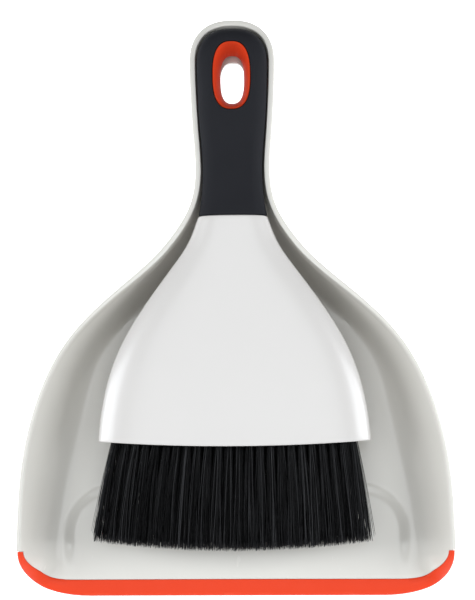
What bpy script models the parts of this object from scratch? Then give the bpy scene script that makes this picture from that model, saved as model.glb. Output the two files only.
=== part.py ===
"""Dust pan with a hand brush stowed in it.

Metres, +Z up. The pan stands on z = 0 with its sweeping edge at -Y and its handle at +Y, and the
origin is under the middle of the set's length. The brush lies in the pan, leaning back with the
handle, and is modelled in its own frame: local +Y runs up its handle and local +Z is its top face.
"""

import math

import bmesh
import bpy
import numpy as np
from mathutils import Vector

# ---------------------------------------------------------------- driving dimensions

FRONT_Y = -0.170  # sweeping edge
BACK_Y = 0.170  # end of the pan's handle
LEAN = math.radians(7.0)  # slope of the handle, the brush and the pan's rim
JOINT_Y, JOINT_Z = 0.050, 0.0517  # where the brush's head meets its grip
CLEARANCE = 0.0003  # gap between pieces that touch

WALL = 0.0024  # pan wall and floor
RIM_ROUND = 0.0008  # bevel of its edge
PAN_HALF_WIDTH = 0.1305
CORNER_Y = -0.146  # the side becomes the front corner here
CORNER_X = 0.0975  # and the corner becomes the straight edge here
CORNER_POWER = 2.7  # roundness of the corner's superellipse
HANDLE_RADIUS = 0.0247  # round end of the pan's handle
HANDLE_CENTRE_Y = BACK_Y - HANDLE_RADIUS

RIM_ABOVE_AXIS = 0.0015  # the rim stands this much over the brush's axis
STEP_HEIGHT = 0.0036  # the floor behind the sweeping ledge is this much higher
STEP_WIDTH = 0.0085
LEDGE_HALF_WIDTH = 0.1015
LEDGE_BACK_Y = -0.1065
LEDGE_RADIUS = 0.026
RAMP_START_Y, RAMP_END_Y = -0.005, 0.072
CHANNEL_POWER = 12  # how squarely the handle's channel turns up into its walls
CHANNEL_CLEARANCE = 0.0012  # from the channel's floor to the grip

RIB_X, RIB_WIDTH = 0.052, 0.0028  # heel ribs under the floor
RIB_START_Y, RIB_END_Y = -0.090, 0.012

BAND_PAN, BAND_HANDLE = 0.034, 0.0105  # width of the mesh band that follows the rim

LIP_WIDTH = 0.0078  # soft lip along the sweeping edge
LIP_END_WIDTH = 0.0036  # and where it ends on the side walls
LIP_END_Y = -0.1465
LIP_NOSE = 0.0010  # thickness of the lip at its very edge
TONGUE_LENGTH = 0.0024  # moulded edge that the lip grips
TONGUE_TOP, TONGUE_BOTTOM = 0.00075, 0.00165  # its faces, below the pan's inner face

HOLE_V = 0.0825  # hanging hole of the pan, along the handle from the head joint
HOLE_HALF_WIDTH, HOLE_HALF_LENGTH = 0.0078, 0.0135

GRIP_LENGTH = 0.1137
GRIP_END_RADIUS = 0.0212
END_ROUNDNESS = 2.35  # power of the end of the grip, seen from above
ROUNDNESS = 2.6  # power of the superellipses of the grip, the ring and the holes
HEAD_LENGTH, HEAD_HALF_WIDTH = 0.1363, 0.0806
HEAD_SIDES, HANDLE_SIDES = 28, 24  # points round their sections
MOUTH_ARCH = 0.0030  # the mouth's middle is this much lower than its ends
HEAD_WALL = 0.0025
CORE_HALF_WIDTH, CORE_HALF_THICKNESS = 0.0125, 0.0030  # the flat core inside the grip
CORE_END_V, CORE_END_RADIUS = 0.1085, 0.0160

RING_V = 0.0839
RING_HALF_WIDTH, RING_HALF_LENGTH = 0.01125, 0.0203
BORE_HALF_WIDTH, BORE_HALF_LENGTH = 0.0071, 0.0147
RING_RECESS = 0.0002  # below the grip's face
# The ring's inner face from top to bottom, as (share of the way to the throat, share of its height).
RING_SECTION = [
    (0.0, 1.0), (0.12, 1.0), (0.55, 0.80), (0.90, 0.45), (1.0, 0.0),
    (1.0, -0.45), (0.6, -0.85), (0.15, -1.0), (0.0, -1.0),
]

BLOCK_RECESS = 0.0030
BLOCK_DEPTH = 0.0125
TUFTS_PER_ROW = 24
TUFT_SPAN = 0.1448  # first to last tuft of the front row, at the block
TUFT_RADIUS, TUFT_SIDES = 0.0020, 8
TUFT_DEPTH = 0.0090
ROW_OFFSET = 0.0039
TIP_V = -0.1970  # brush tips, at the middle
TIP_ARCH = 0.0055
TIP_SPREAD = 1.112
TIP_ROW_OFFSET = 0.0050
TIP_HALF_WIDTH, TIP_HALF_DEPTH = 0.0033, 0.0047

FRONT_COLUMNS = 16  # mesh columns across the pan
SIDE_ROWS = 30  # and rows along it
FRONT_DENSITY, SIDE_DENSITY = 0.30, 0.55  # of the columns and rows, beside those at the corners
BAND_RINGS = 7


# ---------------------------------------------------------------- curves

def smoothstep(low, high, value):
    t = np.clip((value - low) / (high - low), 0.0, 1.0)
    return t * t * (3 - 2 * t)


def spline(points, end_slopes):
    """The cubic spline through (position, value) points, with these slopes at its two ends."""
    at, value = np.array(points, float).T
    step = np.diff(at)
    rise = np.diff(value) / step
    system = np.eye(len(at))
    right = np.zeros(len(at))
    right[0], right[-1] = end_slopes
    for i in range(1, len(at) - 1):
        system[i, i - 1:i + 2] = step[i], 2 * (step[i - 1] + step[i]), step[i - 1]
        right[i] = 3 * (step[i] * rise[i - 1] + step[i - 1] * rise[i])
    slope = np.linalg.solve(system, right)

    def evaluate(x):
        x = np.clip(np.asarray(x, float), at[0], at[-1])
        i = np.clip(np.searchsorted(at, x) - 1, 0, len(step) - 1)
        t = (x - at[i]) / step[i]
        return (
            value[i] * (1 + 2 * t) * (1 - t) ** 2 + value[i + 1] * t * t * (3 - 2 * t)
            + step[i] * (slope[i] * t * (1 - t) ** 2 - slope[i + 1] * t * t * (1 - t))
        )

    return evaluate


# Half width of the pan's outer edge against y, from the front corner to the round handle end.
pan_half_width = spline(
    [
        (CORNER_Y, PAN_HALF_WIDTH), (-0.125, 0.1294), (-0.098, 0.1265), (-0.070, 0.1207),
        (-0.042, 0.1102), (-0.014, 0.0915), (0.007, 0.0695), (0.028, 0.0455),
        (0.0445, 0.0320), (0.058, 0.0246), (0.074, 0.0218), (0.100, 0.0226),
        (0.122, 0.0241), (HANDLE_CENTRE_Y, HANDLE_RADIUS),
    ],
    (0.0, 0.0),
)

# Slant of the pan's side walls, as horizontal run over height, against y.
wall_run = spline(
    [(FRONT_Y, 0.50), (-0.100, 0.55), (-0.060, 0.70), (-0.010, 0.95), (0.060, 0.90)], (0.0, 0.0)
)

# Half width of the brush against the distance along it from the head joint.
grip_half_width = spline(
    [
        (0.0, 0.0206), (0.011, 0.01880), (0.025, 0.0179), (0.040, 0.0184), (0.057, 0.0199),
        (0.075, 0.0208), (GRIP_LENGTH - GRIP_END_RADIUS, GRIP_END_RADIUS),
    ],
    (-0.24, 0.0),
)
grip_half_thickness = spline(
    [(0.0, 0.0106), (0.028, 0.0097), (0.085, 0.0110), (GRIP_LENGTH, 0.0112)], (-0.03, 0.0)
)
head_half_width = spline(
    [
        (-HEAD_LENGTH, HEAD_HALF_WIDTH), (-0.117, 0.0787), (-0.0957, 0.0742), (-0.0746, 0.0660),
        (-0.0532, 0.0532), (-0.0317, 0.0377), (-0.0156, 0.0268), (0.0, 0.0206),
    ],
    (-0.05, -0.36),
)
head_half_thickness = spline(
    [(-HEAD_LENGTH, 0.0120), (-0.100, 0.0123), (-0.050, 0.0114), (0.0, 0.0106)], (-0.01, 0.0)
)


# ---------------------------------------------------------------- the pan's surface

def brush_axis_height(y):
    return JOINT_Z + (y - JOINT_Y) * math.tan(LEAN)


def rim_height(y):
    """The rim runs parallel to the brush, and swoops down round the front corners."""
    along = np.clip((y - FRONT_Y) / (CORNER_Y - FRONT_Y), 0.0, 1.0)
    swoop = 1 - (1 - along) ** 1.7
    straight = brush_axis_height(y) + RIM_ABOVE_AXIS
    return -0.006 + (straight + 0.006) * swoop


def floor_height(x, y):
    """Inner face of the floor: sweeping ledge, the step behind it and the ramp up to the handle."""
    dx = np.abs(x) - (LEDGE_HALF_WIDTH - LEDGE_RADIUS)
    dy = y - (LEDGE_BACK_Y - LEDGE_RADIUS)
    outside = np.where((dx > 0) & (dy > 0), np.hypot(dx, dy), np.maximum(dx, dy)) - LEDGE_RADIUS
    step = STEP_HEIGHT * smoothstep(-STEP_WIDTH / 2, STEP_WIDTH / 2, outside)
    step = step * smoothstep(FRONT_Y + 0.004, FRONT_Y + 0.036, y)
    grip_bottom = brush_axis_height(y) - grip_half_thickness(np.maximum(y - JOINT_Y, 0.0))
    channel = grip_bottom - CHANNEL_CLEARANCE
    low = WALL + step
    return low + (channel - low) * smoothstep(RAMP_START_Y, RAMP_END_Y, y)


def inner_half_width(y):
    return pan_half_width(y) - WALL


def inner_height(x, y):
    """Height of the pan's inner face over any point of its plan."""
    x, y = np.asarray(x, float), np.asarray(y, float)
    base, rim = floor_height(x, y), rim_height(y)
    slope = (inner_half_width(y + 1e-4) - inner_half_width(y - 1e-4)) / 2e-4
    inset = (inner_half_width(y) - np.abs(x)) / np.sqrt(1 + slope * slope)
    wall = rim - inset / wall_run(y)
    fillet = 0.016 - 0.004 * smoothstep(-0.09, -0.03, y)
    share = np.clip(0.5 + 0.5 * (base - wall) / fillet, 0.0, 1.0)
    scoop = wall + (base - wall) * share + fillet * share * (1 - share)
    out = np.hypot(x, np.maximum(y - HANDLE_CENTRE_Y, 0.0)) / inner_half_width(y)
    channel = base + (rim - base) * np.minimum(out, 1.1) ** CHANNEL_POWER
    return scoop + (channel - scoop) * smoothstep(0.026, 0.064, y)


def inner_normal(x, y):
    """Unit normal of the inner face, pointing into the pan."""
    d = 2e-5
    dzdx = (inner_height(x + d, y) - inner_height(x - d, y)) / (2 * d)
    dzdy = (inner_height(x, y + d) - inner_height(x, y - d)) / (2 * d)
    normal = np.stack([-dzdx, -dzdy, np.ones_like(dzdx)], -1)
    return normal / np.linalg.norm(normal, axis=-1, keepdims=True)


# ---------------------------------------------------------------- the pan's outline

def resample(points, count, density=1.0):
    """This many steps along a polyline, equal where the density is, and shorter where it is higher."""
    points = np.array(points)
    run = np.cumsum(np.linalg.norm(np.diff(points, axis=0), axis=1) * density)
    run = np.concatenate([[0.0], run])
    at = np.linspace(0.0, run[-1], count + 1)
    return np.stack([np.interp(at, run, points[:, k]) for k in range(2)], -1)


def corner_density(points, elsewhere):
    """1 round the front corner, and this much along the rest."""
    x, y = np.array(points[:-1]).T
    return np.where((y < CORNER_Y + 0.004) & (x > CORNER_X - 0.004), 1.0, elsewhere)


def corner_point(angle):
    """On the front corner: angle 0 is the side, a right angle is the straight edge."""
    power = 2 / CORNER_POWER
    return (
        CORNER_X + (PAN_HALF_WIDTH - CORNER_X) * math.cos(angle) ** power,
        CORNER_Y - (CORNER_Y - FRONT_Y) * math.sin(angle) ** power,
    )


def half_outline():
    """Right half of the pan's outer edge in three runs: front, side and handle end."""
    fine = 60
    quarter = math.pi / 2
    front = [(CORNER_X * i / fine, FRONT_Y) for i in range(fine)]
    front += [corner_point(quarter * (1 - 0.5 * i / fine)) for i in range(fine + 1)]
    side = [corner_point(quarter * (0.5 - 0.5 * i / fine)) for i in range(fine)]
    length = HANDLE_CENTRE_Y - CORNER_Y
    for i in range(6 * fine):
        y = CORNER_Y + length * i / (6 * fine)
        side.append((float(pan_half_width(y)), y))
    turn = [quarter * i / (2 * fine) for i in range(2 * fine + 1)]
    end = [(HANDLE_RADIUS * math.cos(a), HANDLE_CENTRE_Y + HANDLE_RADIUS * math.sin(a)) for a in turn]
    side += end[:fine + 1]
    return front, side, end[fine:]


def pan_outline(columns, rows):
    """Closed outer edge, counter-clockwise from the middle of the front, and each point's inward normal.

    A quarter turn of the corner belongs to the front and the rest to the side, so that the four
    runs of the loop are the four sides of the mesh patch inside it.
    """
    front, side, end = half_outline()
    right = np.concatenate([
        resample(front, columns // 2, corner_density(front, FRONT_DENSITY))[:-1],
        resample(side, rows, corner_density(side, SIDE_DENSITY))[:-1],
        resample(end, columns // 2),
    ])
    left = right[1:-1][::-1] * (-1, 1)
    loop = np.concatenate([right, left])
    tangent = np.roll(loop, -1, axis=0) - np.roll(loop, 1, axis=0)
    tangent /= np.linalg.norm(tangent, axis=1, keepdims=True)
    return loop, np.stack([-tangent[:, 1], tangent[:, 0]], -1)


def band_end(point):
    """Where the band that follows the rim ends, inside this point of the outline."""
    x, y = point
    band = BAND_PAN + (BAND_HANDLE - BAND_PAN) * float(smoothstep(-0.040, 0.062, y))
    lift = BAND_PAN * max(0.0, 1 - (y - FRONT_Y) / 0.110) ** 2
    keep = 1 - band / float(pan_half_width(max(y, CORNER_Y)))
    if y > HANDLE_CENTRE_Y:
        return x * keep, HANDLE_CENTRE_Y + (y - HANDLE_CENTRE_Y) * keep
    return x * keep, y + lift


class RimLine:
    """A line across the band, from the rim inwards, measured along the pan's inner face."""

    def __init__(self, point, normal):
        start = np.array(point) + normal * WALL * self.wall_share(point)
        end = np.array(band_end(point))
        control = start + normal * 0.45 * np.linalg.norm(end - start)
        t = np.linspace(0.0, 1.0, 161)[:, None] ** 1.5
        self.plan = (1 - t) ** 2 * start + 2 * t * (1 - t) * control + t * t * end
        x, y = self.plan.T
        path = np.stack([x, y, inner_height(x, y)], -1)
        self.run = np.concatenate([[0.0], np.cumsum(np.linalg.norm(np.diff(path, axis=0), axis=1))])
        self.length = self.run[-1]
        self.y = point[1]

    @staticmethod
    def wall_share(point):
        """1 where a wall stands at the edge, and 0 along the open front."""
        return float(smoothstep(0.090, 0.118, abs(point[0]))) if point[1] < CORNER_Y else 1.0

    def at(self, distance, depth=0.0):
        """The point this far in from the rim and this far below the inner face."""
        x = np.interp(distance, self.run, self.plan[:, 0])
        y = np.interp(distance, self.run, self.plan[:, 1])
        point = np.array([x, y, float(inner_height(x, y))])
        return point - depth * inner_normal(np.array(x), np.array(y))

    def lip_width(self):
        along = float(smoothstep(FRONT_Y + 0.002, LIP_END_Y, self.y))
        return LIP_WIDTH + (LIP_END_WIDTH - LIP_WIDTH) * along


# ---------------------------------------------------------------- mesh helpers

def material(name, colour, roughness, metallic=0.0):
    made = bpy.data.materials.new(name)
    made.use_nodes = True
    shader = made.node_tree.nodes["Principled BSDF"]
    shader.inputs["Base Color"].default_value = (*colour, 1.0)
    shader.inputs["Roughness"].default_value = roughness
    shader.inputs["Metallic"].default_value = metallic
    made.diffuse_color = (*colour, 1.0)
    return made


def add_object(name, points, faces, finish=None, parent=None):
    """A mesh object with its faces turned outwards and its round stretches shaded smooth."""
    mesh = bpy.data.meshes.new(name)
    mesh.from_pydata([tuple(map(float, p)) for p in points], [], [tuple(f) for f in faces])
    shape = bmesh.new()
    shape.from_mesh(mesh)
    bmesh.ops.remove_doubles(shape, verts=shape.verts, dist=1e-6)
    bmesh.ops.recalc_face_normals(shape, faces=shape.faces)
    shape.to_mesh(mesh)
    shape.free()
    mesh.shade_smooth()
    mesh.set_sharp_from_angle(angle=math.radians(35))
    made = bpy.data.objects.new(name, mesh)
    bpy.context.collection.objects.link(made)
    made.parent = parent
    if finish:
        mesh.materials.append(finish)
    return made


def boolean(target, tool, operation):
    """Cuts the tool from the target, or joins them, and hides the tool."""
    tool.hide_render = True
    tool.display_type = "WIRE"
    change = target.modifiers.new(operation.title(), "BOOLEAN")
    change.operation = operation
    change.solver = "EXACT"
    change.object = tool


def stack_faces(rings, count, closed_ends=True):
    """Quads between rings of count points each, with a cap on each end."""
    faces = []
    for r in range(rings - 1):
        for i in range(count):
            j = (i + 1) % count
            faces.append((r * count + i, r * count + j, (r + 1) * count + j, (r + 1) * count + i))
    if closed_ends:
        faces.append(tuple(range(count)))
        faces.append(tuple(range((rings - 1) * count, rings * count)))
    return faces


def superellipse(half_x, half_z, power_x, power_z, count):
    """Points of a rounded section, counter-clockwise from +X."""
    points = []
    for i in range(count):
        angle = 2 * math.pi * i / count
        c, s = math.cos(angle), math.sin(angle)
        points.append((
            math.copysign(half_x * abs(c) ** (2 / power_x), c),
            math.copysign(half_z * abs(s) ** (2 / power_z), s),
        ))
    return points


def oval_prism(name, half_x, half_y, centre_y, low, high, count=20, parent=None):
    """An upright prism of oval plan, used as a cutter."""
    plan = superellipse(half_x, half_y, 2.6, 2.6, count)
    points = [(x, centre_y + y, z) for z in (low, high) for x, y in plan]
    return add_object(name, points, stack_faces(2, count), parent=parent)


# ---------------------------------------------------------------- pan pieces

def pan_patch(loop, columns, rows):
    """The grid inside a closed loop of plan points: its x and y, and its quads.

    An index below the loop's length is a loop station, counted from the middle of the front.
    """
    count, half = len(loop), columns // 2
    grid = np.zeros((rows + 1, columns + 1), int)
    grid[0] = [(i - half) % count for i in range(columns + 1)]
    grid[rows] = [half + rows + columns - i for i in range(columns + 1)]
    grid[:, columns] = [half + r for r in range(rows + 1)]
    grid[:, 0] = [count - half - r for r in range(rows + 1)]
    plan = []
    for r in range(1, rows):
        v = r / rows
        for c in range(1, columns):
            u = c / columns
            front, back = loop[grid[0, c]], loop[grid[rows, c]]
            left, right = loop[grid[r, 0]], loop[grid[r, columns]]
            front_corners = (1 - u) * loop[grid[0, 0]] + u * loop[grid[0, columns]]
            back_corners = (1 - u) * loop[grid[rows, 0]] + u * loop[grid[rows, columns]]
            along = (1 - v) * (front - front_corners) + v * (back - back_corners)
            plan.append(along + (1 - u) * left + u * right)
            grid[r, c] = count + len(plan) - 1
    quads = [
        (grid[r, c], grid[r, c + 1], grid[r + 1, c + 1], grid[r + 1, c])
        for r in range(rows) for c in range(columns)
    ]
    return np.array(plan).T, quads


def shell_profile(line, under_lip):
    """(distance in, depth) of points over the pan's edge, from the inner face to the outer one."""
    width = line.lip_width()
    if under_lip:
        tip = width - TONGUE_LENGTH
        top, bottom = TONGUE_TOP, TONGUE_BOTTOM
        edge = [(width, top), (tip, top), (tip, bottom), (width, bottom)]
    else:
        edge = [(RIM_ROUND, 0.0), (0.0, RIM_ROUND), (0.0, WALL - RIM_ROUND), (RIM_ROUND, WALL)]
    steps = np.linspace(width, line.length, BAND_RINGS)
    inner = [(a, 0.0) for a in steps[::-1]]
    outer = [(a, WALL) for a in steps]
    return inner + edge + outer


def has_lip(point):
    return point[1] < LIP_END_Y


def pan_sections(lip):
    """(station, under the lip) of each section. A station where the lip ends has a section of each kind."""
    sections = []
    for i, here in enumerate(lip):
        if here and not lip[i - 1]:
            sections.append((i, False))
        sections.append((i, here))
        if here and not lip[(i + 1) % len(lip)]:
            sections.append((i, False))
    return sections


def make_pan_shell(finish):
    """One moulding: a band of sections round the rim, and a patch inside it on either face."""
    loop, normals = pan_outline(FRONT_COLUMNS, SIDE_ROWS)
    lines = [RimLine(p, n) for p, n in zip(loop, normals)]
    lip = [has_lip(p) for p in loop]
    sections = pan_sections(lip)
    profiles = [
        [lines[i].at(*step) for step in shell_profile(lines[i], under_lip)] for i, under_lip in sections
    ]
    across = len(profiles[0])
    points = [p for profile in profiles for p in profile]
    faces = []
    for s in range(len(sections)):
        t = (s + 1) % len(sections)
        for k in range(across - 1):
            a, b = s * across + k, t * across + k
            faces.append((a, b, b + 1, a + 1))
    ring_top = [s * across for s, (i, under_lip) in enumerate(sections) if under_lip == lip[i]]
    ring_below = [k + across - 1 for k in ring_top]
    (x, y), quads = pan_patch([np.array(band_end(p)) for p in loop], FRONT_COLUMNS, SIDE_ROWS)
    top = np.stack([x, y, inner_height(x, y)], -1)
    for ring, patch in ((ring_top, top), (ring_below, top - WALL * inner_normal(x, y))):
        first = len(points) - len(loop)
        points += list(patch)
        faces += [[ring[k] if k < len(loop) else first + k for k in quad] for quad in quads]
    # The two sections of a station where the lip ends share their ends, which are joined here.
    pan = add_object("pan_shell", points, faces, finish)
    add_heel_ribs(pan)
    drill_hanging_hole(pan)


def add_heel_ribs(pan):
    """Low ribs under the raised floor, from the step to the ramp, so that the pan stands level."""
    for side, x in (("left", -RIB_X), ("middle", 0.0), ("right", RIB_X)):
        points = []
        for y in np.linspace(RIB_START_Y, RIB_END_Y, 7):
            top = float(inner_height(x, y)) - WALL / 2
            low, high = x - RIB_WIDTH / 2, x + RIB_WIDTH / 2
            points += [(low, y, 0.0), (high, y, 0.0), (high, y, top), (low, y, top)]
        rib = add_object(f"rib_guide_{side}", points, stack_faces(7, 4))
        boolean(pan, rib, "UNION")


def drill_hanging_hole(pan):
    cutter = oval_prism("hanging_hole_guide", HOLE_HALF_WIDTH, HOLE_HALF_LENGTH, HOLE_V, -0.030, 0.0)
    cutter.location = (0.0, JOINT_Y, JOINT_Z)
    cutter.rotation_euler = (LEAN, 0.0, 0.0)
    boolean(pan, cutter, "DIFFERENCE")


def lip_profile(line, point):
    """Section of the lip: it thins to a nose along the open front, and is slotted for the tongue."""
    back = line.lip_width() - CLEARANCE
    slot = line.lip_width() - TONGUE_LENGTH - CLEARANCE
    thinning = (1 - line.wall_share(point)) * (WALL - LIP_NOSE)
    return [
        line.at(back, 0.0),
        line.at(2 * RIM_ROUND, 0.7 * thinning),
        line.at(0.0, RIM_ROUND + 0.75 * thinning),
        line.at(0.0, WALL - RIM_ROUND + 0.35 * thinning),
        line.at(RIM_ROUND, WALL),
        line.at(back, WALL),
        line.at(back, TONGUE_BOTTOM + CLEARANCE),
        line.at(slot, TONGUE_BOTTOM + CLEARANCE),
        line.at(slot, TONGUE_TOP - CLEARANCE),
        line.at(back, TONGUE_TOP - CLEARANCE),
    ]


def make_pan_lip(finish):
    """The soft lip, a strip along the front and round both corners."""
    loop, normals = pan_outline(FRONT_COLUMNS, SIDE_ROWS)
    stations = [i for i in range(-len(loop) // 2, len(loop) // 2) if has_lip(loop[i])]
    profiles = [lip_profile(RimLine(loop[i], normals[i]), loop[i]) for i in stations]
    profiles[0] = shortened(profiles[0], profiles[1], CLEARANCE)
    profiles[-1] = shortened(profiles[-1], profiles[-2], CLEARANCE)
    points = [p for profile in profiles for p in profile]
    add_object("pan_lip", points, stack_faces(len(profiles), len(profiles[0])), finish)


def shortened(end, beside, gap):
    """The end section of a strip, moved this far back towards the section beside it."""
    return [a + (b - a) * gap / np.linalg.norm(b - a) for a, b in zip(end, beside)]


# ---------------------------------------------------------------- brush pieces

def brush_empty():
    """The brush's frame: it lifts out of the pan along the local Z of this empty."""
    brush = bpy.data.objects.new("brush", None)
    bpy.context.collection.objects.link(brush)
    brush.location = (0.0, JOINT_Y, JOINT_Z)
    brush.rotation_euler = (LEAN, 0.0, 0.0)
    return brush


def mouth_bend(x, v):
    """Moves a section of the head along it, so that the mouth is arched."""
    share = (v / -HEAD_LENGTH) ** 4
    return v + MOUTH_ARCH * (x / HEAD_HALF_WIDTH) ** 2 * share


def head_section(v, inset):
    """One rounded section of the head, this far inside its outer face. The mouth is the squarest."""
    near_mouth = min(1.0, max(0.0, (-v - 0.03) / (HEAD_LENGTH - 0.03)))
    half_x, half_z = float(head_half_width(v)) - inset, float(head_half_thickness(v)) - inset
    power_x, power_z = ROUNDNESS + 2.2 * near_mouth, ROUNDNESS - 0.2 * near_mouth
    plan = superellipse(half_x, half_z, power_x, power_z, HEAD_SIDES)
    return [(x, mouth_bend(x, v), z) for x, z in plan]


def make_brush_head(finish, brush):
    """The hollow head with its mouth at -Y, and the core that carries the grip."""
    outer = [0.0, -0.008, -0.020, -0.034, -0.050, -0.066, -0.082, -0.098, -0.114, -0.127, -HEAD_LENGTH]
    inner = [-HEAD_LENGTH, -0.122, -0.100, -0.076, -0.050, -0.022]
    rings = [head_section(v, 0.0) for v in outer] + [head_section(v, HEAD_WALL) for v in inner]
    points = [p for ring in rings for p in ring]
    head = add_object("brush_head", points, stack_faces(len(rings), HEAD_SIDES), finish, brush)
    core = core_guide("core_guide", 0.0, brush)
    boolean(core, ring_seat("core_hole_guide", brush), "DIFFERENCE")
    boolean(head, core, "UNION")


def core_half_width(v):
    """The core widens round the hanging ring and ends round."""
    wide = CORE_HALF_WIDTH + (CORE_END_RADIUS - CORE_HALF_WIDTH) * float(smoothstep(0.035, 0.070, v))
    past = max(0.0, (v - CORE_END_V) / CORE_END_RADIUS + 1)
    return max(wide * math.sqrt(max(0.0, 1 - past ** 2)), 0.002)


def core_guide(name, grow, brush):
    """The flat core inside the grip, this much larger all round."""
    straight = [-0.004, 0.020, 0.040, 0.056, 0.072]
    bend = [CORE_END_V - CORE_END_RADIUS * share for share in (1.0, 0.65, 0.35, 0.12)]
    points = []
    for v in straight + bend + [CORE_END_V + grow]:
        x, z = core_half_width(v) + grow, CORE_HALF_THICKNESS + grow
        points += [(-x, v, -z), (x, v, -z), (x, v, z), (-x, v, z)]
    return add_object(name, points, stack_faces(len(straight + bend) + 1, 4), parent=brush)


def ring_seat(name, brush):
    """The straight oval hole that the hanging ring sits in."""
    half_x, half_y = RING_HALF_WIDTH + CLEARANCE, RING_HALF_LENGTH + CLEARANCE
    return oval_prism(name, half_x, half_y, RING_V, -0.020, 0.020, parent=brush)


def grip_half_sizes(v):
    """Half width and half thickness of the grip, which closes round the end of the handle."""
    past = max(0.0, (v - GRIP_LENGTH) / GRIP_END_RADIUS + 1)
    half_x = float(grip_half_width(v)) * max(0.0, 1 - past ** END_ROUNDNESS) ** (1 / END_ROUNDNESS)
    half_z = float(grip_half_thickness(v)) * math.sqrt(max(0.0, 1 - past ** 5))
    return max(half_x, 0.001), max(half_z, 0.001)


def make_brush_grip(finish, brush):
    """The soft sleeve, cut out for the core and the ring."""
    straight = [CLEARANCE, 0.012, 0.025, 0.040, 0.055, 0.070]
    bend = [GRIP_LENGTH - GRIP_END_RADIUS * share for share in (1.0, 0.6, 0.3, 0.1, 0.01)]
    points = []
    for v in straight + bend:
        section = superellipse(*grip_half_sizes(v), ROUNDNESS, ROUNDNESS, HANDLE_SIDES)
        points += [(x, v, z) for x, z in section]
    faces = stack_faces(len(straight + bend), HANDLE_SIDES)
    grip = add_object("brush_grip", points, faces, finish, brush)
    boolean(grip, core_guide("core_cavity_guide", CLEARANCE, brush), "DIFFERENCE")
    boolean(grip, ring_seat("ring_seat_guide", brush), "DIFFERENCE")


def grip_surface(x, v):
    """Height of the grip's outer face over its middle plane."""
    half_x, half_z = grip_half_sizes(v)
    return half_z * max(0.0, 1 - abs(x / half_x) ** ROUNDNESS) ** (1 / ROUNDNESS)


def make_hang_ring(finish, brush):
    """The ring that lines the hanging hole: straight outside, waisted inside."""
    outer = superellipse(RING_HALF_WIDTH, RING_HALF_LENGTH, ROUNDNESS, ROUNDNESS, HANDLE_SIDES)
    throat = superellipse(BORE_HALF_WIDTH, BORE_HALF_LENGTH, ROUNDNESS, ROUNDNESS, HANDLE_SIDES)
    points = []
    for share, level in RING_SECTION:
        for (ox, oy), (tx, ty) in zip(outer, throat):
            top = grip_surface(ox, RING_V + oy) - RING_RECESS
            points.append((ox + (tx - ox) * share, RING_V + oy + (ty - oy) * share, level * top))
    faces = stack_faces(len(RING_SECTION), HANDLE_SIDES, closed_ends=False)
    last = (len(RING_SECTION) - 1) * HANDLE_SIDES
    for i in range(HANDLE_SIDES):
        j = (i + 1) % HANDLE_SIDES
        faces.append((i, j, last + j, last + i))
    add_object("hang_ring", points, faces, finish, brush)


def tuft_roots():
    """(name, x, z, side of the block) of every tuft. The back row stands between the front row's tufts."""
    pitch = TUFT_SPAN / (TUFTS_PER_ROW - 1)
    for row, side, count in (("front", 1, TUFTS_PER_ROW), ("back", -1, TUFTS_PER_ROW - 1)):
        for i in range(count):
            x = (i - (count - 1) / 2) * pitch
            rounding = 1 - 0.32 * (2 * x / TUFT_SPAN) ** 4
            yield f"tuft_{row}_{i + 1:02d}", x, side * ROW_OFFSET * rounding, side


def block_face(x):
    return mouth_bend(x, -HEAD_LENGTH) + BLOCK_RECESS


def make_bristle_block(finish, brush):
    """The block that closes the head's mouth, with a blind hole for every tuft."""
    points = []
    for depth in (BLOCK_RECESS, BLOCK_RECESS + BLOCK_DEPTH):
        points += head_section(depth - HEAD_LENGTH, HEAD_WALL + CLEARANCE)
    block = add_object("bristle_block", points, stack_faces(2, HEAD_SIDES), finish, brush)
    hole = superellipse(TUFT_RADIUS + CLEARANCE, TUFT_RADIUS + CLEARANCE, 2, 2, TUFT_SIDES)
    points, faces = [], []
    for _, x, z, _ in tuft_roots():
        first = len(points)
        for v in (block_face(x) - 0.004, block_face(x) + TUFT_DEPTH + CLEARANCE):
            points += [(x + dx, v, z + dz) for dx, dz in hole]
        faces += [[first + k for k in face] for face in stack_faces(2, TUFT_SIDES)]
    boolean(block, add_object("tuft_hole_guide", points, faces, parent=brush), "DIFFERENCE")


def make_tufts(finish, brush):
    """Each tuft is straight in its hole and fans out to the sweeping tips."""
    for name, x, z, side in tuft_roots():
        face = block_face(x)
        tip_x, tip_z = x * TIP_SPREAD, side * TIP_ROW_OFFSET
        tip_v = TIP_V + TIP_ARCH * (x * TIP_SPREAD / HEAD_HALF_WIDTH) ** 2
        points = []
        for along, fan in ((-TUFT_DEPTH / (face - tip_v), 0.0), (0.02, 0.0), (0.4, 0.5), (1.0, 1.0)):
            half_x = TUFT_RADIUS + (TIP_HALF_WIDTH - TUFT_RADIUS) * fan
            half_z = TUFT_RADIUS + (TIP_HALF_DEPTH - TUFT_RADIUS) * fan
            lean = along if fan else 0.0
            for dx, dz in superellipse(half_x, half_z, 2.3, 2.3, TUFT_SIDES):
                px, pz = x + (tip_x - x) * lean + dx, z + (tip_z - z) * fan + dz
                points.append((px, face + (tip_v - face) * along, pz))
        add_object(name, points, stack_faces(4, TUFT_SIDES), finish, brush)


# ---------------------------------------------------------------- the set

def clear_scene():
    for old in list(bpy.data.objects):
        bpy.data.objects.remove(old)


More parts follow.
